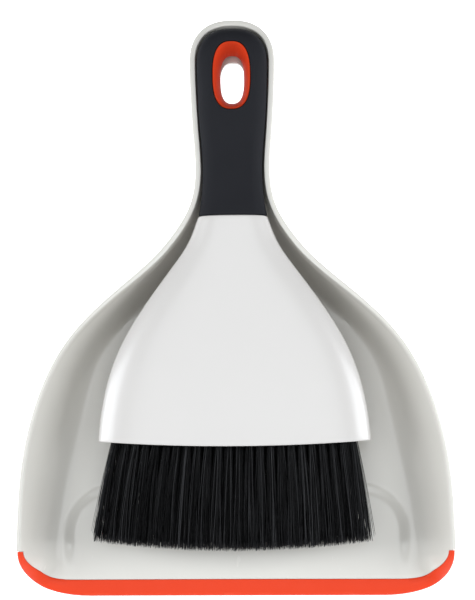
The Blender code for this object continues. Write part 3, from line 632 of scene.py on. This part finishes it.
def head_section(v, inset):
    """One rounded section of the head, this far inside its outer face. The mouth is the squarest."""
    near_mouth = min(1.0, max(0.0, (-v - 0.03) / (HEAD_LENGTH - 0.03)))
    half_x, half_z = float(head_half_width(v)) - inset, float(head_half_thickness(v)) - inset
    power_x, power_z = ROUNDNESS + 2.2 * near_mouth, ROUNDNESS - 0.2 * near_mouth
    x, z = rounded_section(half_x, half_z, power_x, power_z, 160).T
    return np.stack([x, mouth_bend(x, v), z], -1)


def make_head(material):
    """The hollow head, softly rounded at its mouth and its seam, with the core of the handle."""
    rings = [head_section(-SEAM_ROUND * (1 - s), SEAM_ROUND * (1 - c)) for c, s in quarter_turn(6)[::-1]]
    rings += [head_section(v, 0.0) for v in np.linspace(-0.003, -HEAD_LENGTH + 0.003, 64)]
    turn = quarter_turn(6)
    rings += [head_section(-HEAD_LENGTH + MOUTH_ROUND * (1 - s), MOUTH_ROUND * (1 - c)) for c, s in turn]
    rings += [
        head_section(-HEAD_LENGTH + MOUTH_INNER_ROUND * (1 - c), HEAD_WALL - MOUTH_INNER_ROUND * (1 - s))
        for c, s in turn
    ]
    rings += [head_section(v, HEAD_WALL) for v in np.linspace(-HEAD_LENGTH + 0.002, HEAD_HOLLOW_END_V, 30)]
    head = loft("brush_casing", rings, BRUSH)
    core = core_solid(0.0)
    boolean(core, ring_seat(0.0), "DIFFERENCE")
    boolean(head, core, "UNION")
    finish_piece(head, "brush", material, ["brush_head"])


def core_half_width(v):
    """The core widens round the hanging ring and ends round."""
    wide = CORE_HALF_WIDTH + (CORE_END_RADIUS - CORE_HALF_WIDTH) * float(smoothstep(*CORE_WIDENS_V, v))
    past = max(0.0, (v - CORE_END_V) / CORE_END_RADIUS + 1)
    return max(wide * math.sqrt(max(0.0, 1 - past ** 2)), CORE_LEAST)


def core_solid(grow):
    """The flat core inside the grip, this much larger all round."""
    shares = np.sqrt(np.linspace(1.0, 0.01, 16))
    straight = np.linspace(CORE_START_V, 0.090, 30)
    rings = []
    for v in [*straight, *(CORE_END_V - CORE_END_RADIUS * shares), CORE_END_V + grow]:
        x, z = core_half_width(v) + grow, CORE_HALF_THICKNESS + grow
        rings.append([(-x, v, -z), (x, v, -z), (x, v, z), (-x, v, z)])
    return loft("core", rings, BRUSH)


def grip_half_sizes(v):
    """Half width and half thickness of the grip, which closes round the end of the handle."""
    past = max(0.0, (v - GRIP_LENGTH) / GRIP_END_RADIUS + 1)
    half_x = float(grip_half_width(v)) * max(0.0, 1 - past ** END_ROUNDNESS) ** (1 / END_ROUNDNESS)
    half_z = float(grip_half_thickness(v)) * math.sqrt(max(0.0, 1 - past ** 5))
    return max(half_x, 0.0002), max(half_z, 0.0002)


def grip_surface(x, v):
    """Height of the grip's outer face over its middle plane."""
    half_x, half_z = grip_half_sizes(v)
    return half_z * max(0.0, 1 - abs(x / half_x) ** ROUNDNESS) ** (1 / ROUNDNESS)


def ring_seat(edge_round):
    """The oval hole that the hanging ring sits in, opening softly towards both faces of the grip."""
    half_x, half_y = RING_HALF_WIDTH + GAP, RING_HALF_LENGTH + GAP
    oval = rounded_section(half_x, half_y, ROUNDNESS, ROUNDNESS, 96)
    surface = np.array([grip_surface(x, RING_V + y) for x, y in oval])
    outward = np.roll(oval, -1, axis=0) - np.roll(oval, 1, axis=0)
    outward = np.stack([outward[:, 1], -outward[:, 0]], -1)
    outward /= np.linalg.norm(outward, axis=1, keepdims=True)
    flare = [(edge_round * (1 - c), edge_round * (1 - s)) for c, s in quarter_turn(5)]
    levels = [(aside, surface - below) for aside, below in flare] if edge_round else [(0.0, surface)]
    levels.append((levels[-1][0], surface * 0 + 0.020))
    rings = []
    for side, steps in ((-1, levels[::-1]), (1, levels)):
        for aside, height in steps:
            plan = oval + outward * aside
            rings.append(np.stack([plan[:, 0], RING_V + plan[:, 1], side * height], -1))
    return loft("ring_seat", rings, BRUSH)


def make_grip(material):
    """The soft sleeve, cut out for the core and the ring."""
    rings = []
    for c, s in quarter_turn(7)[::-1]:
        v = GAP + SEAM_ROUND * (1 - s)
        half_x, half_z = (half - SEAM_ROUND * (1 - c) for half in grip_half_sizes(v))
        rings.append((v, half_x, half_z))
    straight = np.linspace(GAP + 0.002, GRIP_LENGTH - GRIP_END_RADIUS - 0.001, 60)
    turn = np.sin(np.linspace(0.0, math.pi / 2, 34)[:-1])
    shares = [*turn, 0.99985]
    for v in [*straight, *(GRIP_LENGTH - GRIP_END_RADIUS * (1 - np.array(shares)))]:
        rings.append((v, *grip_half_sizes(v)))
    points = []
    for v, half_x, half_z in rings:
        x, z = rounded_section(half_x, half_z, ROUNDNESS, ROUNDNESS, 112).T
        points.append(np.stack([x, np.full_like(x, v), z], -1))
    grip = loft("handle_sleeve", points, BRUSH)
    boolean(grip, core_solid(GAP), "DIFFERENCE")
    boolean(grip, ring_seat(SEAT_ROUND), "DIFFERENCE")
    finish_piece(grip, "brush", material, ["brush_grip"])


def make_ring(material):
    """The ring that lines the hanging hole, a smooth waist between two rounded rims."""
    count = 96
    outer = rounded_section(RING_HALF_WIDTH, RING_HALF_LENGTH, ROUNDNESS, ROUNDNESS, count)
    throat = rounded_section(BORE_HALF_WIDTH, BORE_HALF_LENGTH, ROUNDNESS, ROUNDNESS, count)
    top = np.array([grip_surface(x, RING_V + y) for x, y in outer]) - RING_RECESS
    rings = []
    for share, level in RING_SECTION:
        x, y = (outer + (throat - outer) * share).T
        rings.append(np.stack([x, RING_V + y, level * top], -1))
    points = np.concatenate(rings)
    faces = stack_faces(len(rings), count, closed_ends=False)
    last = (len(rings) - 1) * count
    faces += [(i, (i + 1) % count, last + (i + 1) % count, last + i) for i in range(count)]
    ring = new_mesh("hanging_eye", points, faces, BRUSH)
    finish_piece(ring, "brush", material, ["hang_ring"])


# ---------------------------------------------------------------- bristles

def tuft_roots():
    """(CAD node, x, z, side of the block) of every tuft."""
    pitch = TUFT_SPAN / (TUFTS_PER_ROW - 1)
    for row, side, count in (("front", 1, TUFTS_PER_ROW), ("back", -1, TUFTS_PER_ROW - 1)):
        for i in range(count):
            x = (i - (count - 1) / 2) * pitch
            rounding = 1 - 0.32 * (2 * x / TUFT_SPAN) ** 4
            yield f"tuft_{row}_{i + 1:02d}", x, side * ROW_OFFSET * rounding, side


def disc(rng, count):
    """Points spread evenly over a unit disc, a little jittered."""
    i = np.arange(count) + 0.5
    radius, angle = np.sqrt(i / count), i * math.pi * (3 - math.sqrt(5)) + rng.uniform(0, 6.3)
    points = np.stack([radius * np.cos(angle), radius * np.sin(angle)], -1)
    return points + rng.normal(0.0, 0.05, points.shape)


def filament_paths(rng, root_x, root_z, side, face):
    """Centre lines (filaments, steps, 3) of one tuft: round at the root and fanned at the tips."""
    spot = disc(rng, FILAMENTS)
    reach = np.maximum(1.0, np.linalg.norm(spot, axis=1))[:, None]
    spot = spot / reach
    root = np.array([root_x, root_z]) + spot * (TUFT_RADIUS - FILAMENT_RADIUS)
    wander = rng.normal(0.0, TIP_WANDER, spot.shape)
    tip = np.array([root_x * TIP_SPREAD + TIP_LEAN, side * TIP_ROW_OFFSET])
    tip = tip + spot * (TIP_HALF_WIDTH, TIP_HALF_DEPTH) * 0.98 + wander
    arch = TIP_ARCH * (tip[:, 0] / HEAD_HALF_WIDTH) ** 2
    tip_v = TIP_V + arch + rng.normal(0.0, LENGTH_JITTER, FILAMENTS).clip(SHORTEST, LONGEST)
    t = np.array(FILAMENT_STEPS)[None, :, None]
    fan = t * (1.35 - 0.35 * t)
    bow = rng.normal(0.0, BOW, spot.shape)[:, None] * np.sin(math.pi * t)
    wave = rng.normal(0.0, WAVE, (FILAMENTS, len(FILAMENT_STEPS), 2)) * t
    across = root[:, None] + (tip - root)[:, None] * fan + bow + wave
    v = face + (tip_v - face)[:, None] * t[..., 0]
    inside = np.stack([root[:, 0], np.full(FILAMENTS, face + 0.6 * TUFT_DEPTH), root[:, 1]], -1)
    visible = np.stack([across[..., 0], v, across[..., 1]], -1)
    return np.concatenate([inside[:, None], visible], axis=1)


def stray_paths(rng, end, face):
    """Centre lines of the loose filaments that stand off one end of the brush."""
    paths = []
    for i in range(STRAYS_LEFT if end < 0 else STRAYS_RIGHT):
        root = np.array([end * (TUFT_SPAN / 2 + 0.0012), face + 0.005, rng.uniform(-0.001, 0.001)])
        tip_x = end * (HEAD_HALF_WIDTH + 0.0012 + 0.0008 * i)
        tip = np.array([tip_x, TIP_V + 0.0065 + 0.0009 * i, root[2] + rng.uniform(-0.002, 0.002)])
        t = np.array([0.0, 0.06, *FILAMENT_STEPS[1:]])[:, None]
        paths.append(root + (tip - root) * t + np.array([end * 0.0006, 0, 0]) * np.sin(math.pi * t))
    return np.array(paths)


def filament_mesh(name, rng, paths):
    """Three-sided tubes along the paths, each with a random tone of its own in a point attribute, whose
    paler values are partly painted sheen.
    """
    count, steps = paths.shape[:2]
    spin = rng.uniform(0.0, 6.3, count)[:, None] + np.arange(3) * 2 * math.pi / 3
    size = FILAMENT_RADIUS * rng.uniform(0.85, 1.15, count)[:, None] * np.ones(steps)
    size[:, -1] *= 0.55
    around = np.stack([np.cos(spin), np.zeros_like(spin), np.sin(spin)], -1)
    points = paths[:, :, None] + size[:, :, None, None] * around[:, None]
    faces = []
    for i in range(count):
        faces += stack_faces(steps, 3, first=i * steps * 3)
    bunch = new_mesh(name, points.reshape(-1, 3), faces, BRUSH)
    # Random tone for each filament; the rare pale ones are painted sheen in part.
    tone_and_sheen = np.repeat(rng.uniform(0.0, 1.0, count) ** 4, steps * 3).astype(np.float32)
    bunch.data.attributes.new("tone_and_sheen", "FLOAT", "POINT").data.foreach_set("value", tone_and_sheen)
    return bunch


def make_bristles(material):
    """One bunch of filaments for each tuft, seeded by its place in the rows."""
    outermost = 0.49 * TUFT_SPAN  # only the two end tufts of the front row lie further out
    for number, (node, x, z, side) in enumerate(tuft_roots()):
        rng = np.random.default_rng(FIRST_SEED + number)
        face = float(mouth_bend(x, -HEAD_LENGTH)) + BLOCK_RECESS
        paths = filament_paths(rng, x, z, side, face)
        if side > 0 and abs(x) > outermost:
            paths = np.concatenate([paths, stray_paths(rng, math.copysign(1, x), face)])
        bunch = filament_mesh(node.replace("tuft", "bristles"), rng, paths)
        finish_piece(bunch, "brush", material, [node], sharp=180.0)


# ---------------------------------------------------------------- materials

class Finish:
    """A procedural material in the making, round its one shader."""

    def __init__(self, name, **settings):
        self.material = bpy.data.materials.new(name)
        self.material.use_nodes = True
        self.nodes, self.links = self.material.node_tree.nodes, self.material.node_tree.links
        self.shader = self.nodes["Principled BSDF"]
        for socket, value in settings.items():
            self.shader.inputs[socket.replace("_", " ")].default_value = value
        self.place = self.nodes.new("ShaderNodeTexCoord").outputs["Object"]
        self.surface = None

    def noise(self, scale, detail=2.0, stretch=(1, 1, 1), distortion=0.0):
        """Noise of so many cells a metre, drawn out along an axis where its stretch is small."""
        mapping = self.nodes.new("ShaderNodeMapping")
        mapping.inputs["Scale"].default_value = stretch
        self.links.new(self.place, mapping.inputs["Vector"])
        noise = self.nodes.new("ShaderNodeTexNoise")
        noise.inputs["Scale"].default_value = scale
        noise.inputs["Detail"].default_value = detail
        noise.inputs["Distortion"].default_value = distortion
        self.links.new(mapping.outputs["Vector"], noise.inputs["Vector"])
        return noise.outputs["Fac"]

    def ranged(self, value, low, high, start=0.3, end=0.7):
        """The value's stretch from start to end, mapped to low to high."""
        mapped = self.nodes.new("ShaderNodeMapRange")
        mapped.interpolation_type = "SMOOTHSTEP"
        for socket, number in zip(mapped.inputs[1:5], (start, end, low, high)):
            socket.default_value = number
        self.links.new(value, mapped.inputs["Value"])
        return mapped.outputs["Result"]

    def along(self, axis):
        """A coordinate of the piece, in metres."""
        split = self.nodes.new("ShaderNodeSeparateXYZ")
        self.links.new(self.place, split.inputs["Vector"])
        return split.outputs[axis]

    def attribute(self, name):
        found = self.nodes.new("ShaderNodeAttribute")
        found.attribute_name = name
        return found.outputs["Fac"]

    def combined(self, operation, first, second):
        """The sum or product of two values."""
        node = self.nodes.new("ShaderNodeMath")
        node.operation = operation
        for socket, value in zip(node.inputs, (first, second)):
            if isinstance(value, float):
                socket.default_value = value
            else:
                self.links.new(value, socket)
        return node.outputs["Value"]

    def blend(self, share, first, second):
        """The colour between two, which are triples or outputs."""
        mix = self.nodes.new("ShaderNodeMix")
        mix.data_type = "RGBA"
        for name, colour in (("A", first), ("B", second)):
            socket = next(s for s in mix.inputs if s.name == name and s.type == "RGBA")
            if isinstance(colour, tuple):
                socket.default_value = (*colour, 1.0)
            else:
                self.links.new(colour, socket)
        self.links.new(share, mix.inputs["Factor"])
        return next(s for s in mix.outputs if s.type == "RGBA")

    def drive(self, socket, value):
        self.links.new(value, self.shader.inputs[socket])

    def bump(self, height, distance):
        """Adds relief this deep, in metres, on top of what is there."""
        bump = self.nodes.new("ShaderNodeBump")
        bump.inputs["Distance"].default_value = distance
        self.links.new(height, bump.inputs["Height"])
        if self.surface:
            self.links.new(self.surface, bump.inputs["Normal"])
        self.surface = bump.outputs["Normal"]
        self.drive("Normal", self.surface)


def pan_plastic():
    """Glossy polypropylene: fine grain, slow unevenness of the moulding, scuffs near the lip."""
    finish = Finish("pan_plastic", Specular_IOR_Level=0.5)
    cloud = finish.noise(14.0, 3.0)
    finish.drive("Base Color", finish.blend(cloud, (0.606, 0.582, 0.532), (0.622, 0.599, 0.550)))
    scuffs = finish.ranged(finish.noise(420.0, 4.0, (1, 0.06, 1), 0.6), 0.0, 0.05, 0.56, 0.78)
    near_lip = finish.ranged(finish.along("Y"), 1.0, 0.0, FRONT_Y, LEDGE_BACK_Y + 0.02)
    gloss = finish.ranged(finish.noise(90.0, 3.0), 0.21, 0.26)
    finish.drive("Roughness", finish.combined("ADD", gloss, finish.combined("MULTIPLY", scuffs, near_lip)))
    finish.bump(finish.noise(26.0, 1.0), 0.00010)
    finish.bump(finish.noise(2600.0, 2.0), 0.000006)
    return finish.material


def lip_rubber():
    """Matt elastomer, slightly paler where the nose has been rubbed."""
    finish = Finish("lip_rubber", Specular_IOR_Level=0.42, IOR=1.28)
    mottle = finish.noise(60.0, 3.0)
    body = finish.blend(mottle, (0.680, 0.045, 0.011), (0.705, 0.052, 0.015))
    rubbed = finish.ranged(finish.noise(300.0, 4.0, (0.25, 1, 1)), 0.0, 0.22, 0.50, 0.75)
    nose = finish.ranged(finish.along("Y"), 1.0, 0.0, FRONT_Y, FRONT_Y + 0.0022)
    finish.drive("Base Color", finish.blend(
        finish.combined("MULTIPLY", rubbed, nose), body, (0.90, 0.20, 0.10)))
    finish.drive("Roughness", finish.ranged(finish.noise(240.0, 3.0), 0.40, 0.52))
    finish.bump(finish.noise(1900.0, 3.0), 0.000012)
    return finish.material


def head_plastic():
    """Glossy moulding with a faint flow towards its mouth."""
    finish = Finish("head_plastic", Specular_IOR_Level=0.5)
    cloud = finish.noise(18.0, 2.0)
    finish.drive("Base Color", finish.blend(cloud, (0.560, 0.536, 0.512), (0.572, 0.548, 0.524)))
    finish.drive("Roughness", finish.ranged(finish.noise(110.0, 3.0, (1, 0.4, 1)), 0.24, 0.27))
    finish.bump(finish.noise(34.0, 1.0, (1, 0.5, 1)), 0.00006)
    finish.bump(finish.noise(3000.0, 2.0), 0.000003)
    return finish.material


def grip_elastomer():
    """Soft-touch elastomer with a fine stipple."""
    finish = Finish("grip_elastomer", Specular_IOR_Level=0.10, IOR=1.20)
    handled = finish.noise(45.0, 3.0)
    finish.drive("Base Color", finish.blend(handled, (0.0150, 0.0153, 0.0178), (0.0190, 0.0193, 0.0222)))
    finish.drive("Roughness", finish.ranged(handled, 0.40, 0.48))
    finish.bump(finish.noise(20.0, 1.0), 0.00008)
    finish.bump(finish.noise(2100.0, 3.0), 0.000014)
    return finish.material


def ring_plastic():
    """Hard plastic with a slight orange-peel surface. It is nearly matt, or it would mirror the floor."""
    finish = Finish("ring_plastic", Specular_IOR_Level=0.05, IOR=1.10)
    tone = finish.noise(50.0, 2.0)
    finish.drive("Base Color", finish.blend(tone, (0.500, 0.040, 0.012), (0.540, 0.048, 0.015)))
    finish.drive("Roughness", finish.ranged(finish.noise(160.0, 3.0), 0.28, 0.36))
    finish.bump(finish.noise(600.0, 2.0), 0.000006)
    return finish.material


def block_plastic():
    """Plain dark moulding with a coarse tooled surface. Its dark colour is a guess at the block's own, and
    in part painted shade that keeps the gaps between the tufts dark.
    """
    finish = Finish("block_plastic")
    tone = finish.noise(120.0, 3.0)
    # Painted shade in part: the block is kept near black so the gaps between the tufts read dark.
    finish.drive("Base Color", finish.blend(tone, (0.014, 0.014, 0.015), (0.024, 0.024, 0.025)))
    finish.drive("Roughness", finish.ranged(finish.noise(300.0, 3.0), 0.42, 0.6))
    finish.bump(finish.noise(1500.0, 3.0), 0.00002)
    return finish.material


def bristle_fibre():
    """Black filament, each one a slightly different tone and gloss. The paler filaments are partly painted
    sheen, standing in for ones that shine more.
    """
    finish = Finish("bristle_fibre", Specular_IOR_Level=0.12, IOR=1.35)
    tone_and_sheen = finish.attribute("tone_and_sheen")
    # Painted sheen in part: the palest filaments stand in for ones with stronger highlights.
    finish.drive("Base Color", finish.blend(tone_and_sheen, (0.0008, 0.0008, 0.0010), (0.046, 0.046, 0.048)))
    streak = finish.noise(900.0, 2.0, (1, 0.05, 1))
    gloss = finish.combined("ADD", finish.ranged(streak, 0.0, 0.12), finish.ranged(tone_and_sheen, 0.26, 0.40, 0, 1))
    finish.drive("Roughness", gloss)
    finish.bump(streak, 0.00001)
    return finish.material


def floor_paper():
    """Plain white studio paper on a light table, which keeps the shadows on it pale."""
    finish = Finish("floor_paper", Roughness=0.9, Specular_IOR_Level=0.1)
    finish.shader.inputs["Emission Color"].default_value = (1.0, 1.0, 1.0, 1.0)
    finish.shader.inputs["Emission Strength"].default_value = TABLE_GLOW
    tone = finish.noise(3.0, 2.0)
    finish.drive("Base Color", finish.blend(tone, (0.955, 0.955, 0.955), (0.965, 0.965, 0.965)))
    return finish.material


# ---------------------------------------------------------------- the scene

CAMERA_AT = Vector((0.035, -0.1768, 0.9625))
CAMERA_PITCH, CAMERA_YAW, CAMERA_ROLL = math.radians(11.07), math.radians(1.995), math.radians(-0.52)
LENS = 94.16  # for a sensor 36 mm along the picture's long side

# Where each softbox hangs, its width and length, and its power in watts.
SOFTBOXES = [
    ((0.0, -0.15, 1.25), (1.0, 0.9), 7.1),
    ((-1.15, 0.0, 0.40), (0.50, 1.40), 18.0),
    ((1.15, 0.0, 0.40), (0.50, 1.40), 18.0),
    ((0.0, -1.15, 0.55), (0.7, 0.5), 6.4),
]
LIGHT_COLOUR = (0.925, 0.962, 1.0)
AMBIENT = 0.15
TABLE_GLOW = 0.45


def make_camera():
    """The camera looks down at the set from over its sweeping edge."""
    data = bpy.data.cameras.new("camera")
    data.sensor_width = 36.0
    data.lens = LENS
    camera = bpy.data.objects.new("camera", data)
    turn = Matrix.Rotation(CAMERA_PITCH, 4, "X")
    turn = turn @ Matrix.Rotation(CAMERA_YAW, 4, "Y") @ Matrix.Rotation(CAMERA_ROLL, 4, "Z")
    camera.matrix_world = Matrix.Translation(CAMERA_AT) @ turn
    bpy.context.scene.collection.objects.link(camera)
    bpy.context.scene.camera = camera


def make_lights():
    """A softbox overhead, a low one on either side and one in front, and a dim even surround."""
    for place, (width, length), power in SOFTBOXES:
        data = bpy.data.lights.new("softbox", "AREA")
        data.shape = "RECTANGLE"
        data.size, data.size_y = width, length
        data.energy = power
        data.color = LIGHT_COLOUR
        lamp = bpy.data.objects.new("softbox", data)
        lamp.location = place
        lamp.rotation_euler = (-Vector(place)).to_track_quat("-Z", "Y").to_euler()
        lamp.visible_camera = False
        bpy.context.scene.collection.objects.link(lamp)
    world = bpy.data.worlds.new("surround")
    world.use_nodes = True
    world.node_tree.nodes["Background"].inputs["Color"].default_value = (*LIGHT_COLOUR, 1.0)
    world.node_tree.nodes["Background"].inputs["Strength"].default_value = AMBIENT
    bpy.context.scene.world = world


def make_floor():
    """The pale floor that the set stands on."""
    half = FLOOR_HALF_SIZE
    corners = [(-half, -half, 0.0), (half, -half, 0.0), (half, half, 0.0), (-half, half, 0.0)]
    mesh = bpy.data.meshes.new("floor")
    mesh.from_pydata(corners, [], [(0, 1, 2, 3)])
    floor = bpy.data.objects.new("floor", mesh)
    floor.location.z = -FLOOR_DROP
    mesh.materials.append(floor_paper())
    bpy.context.scene.collection.objects.link(floor)


def make_set():
    """Every piece of the object. The bristle block is the CAD solid with a finish of its own."""
    band = make_pan(pan_plastic())
    make_lip(band, lip_rubber())
    make_head(head_plastic())
    make_grip(grip_elastomer())
    make_ring(ring_plastic())
    make_bristles(bristle_fibre())
    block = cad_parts["bristle_block"]
    block.data.materials.clear()
    block.data.materials.append(block_plastic())


make_set()
make_floor()
make_camera()
make_lights()
bpy.context.scene.view_settings.view_transform = "Standard"
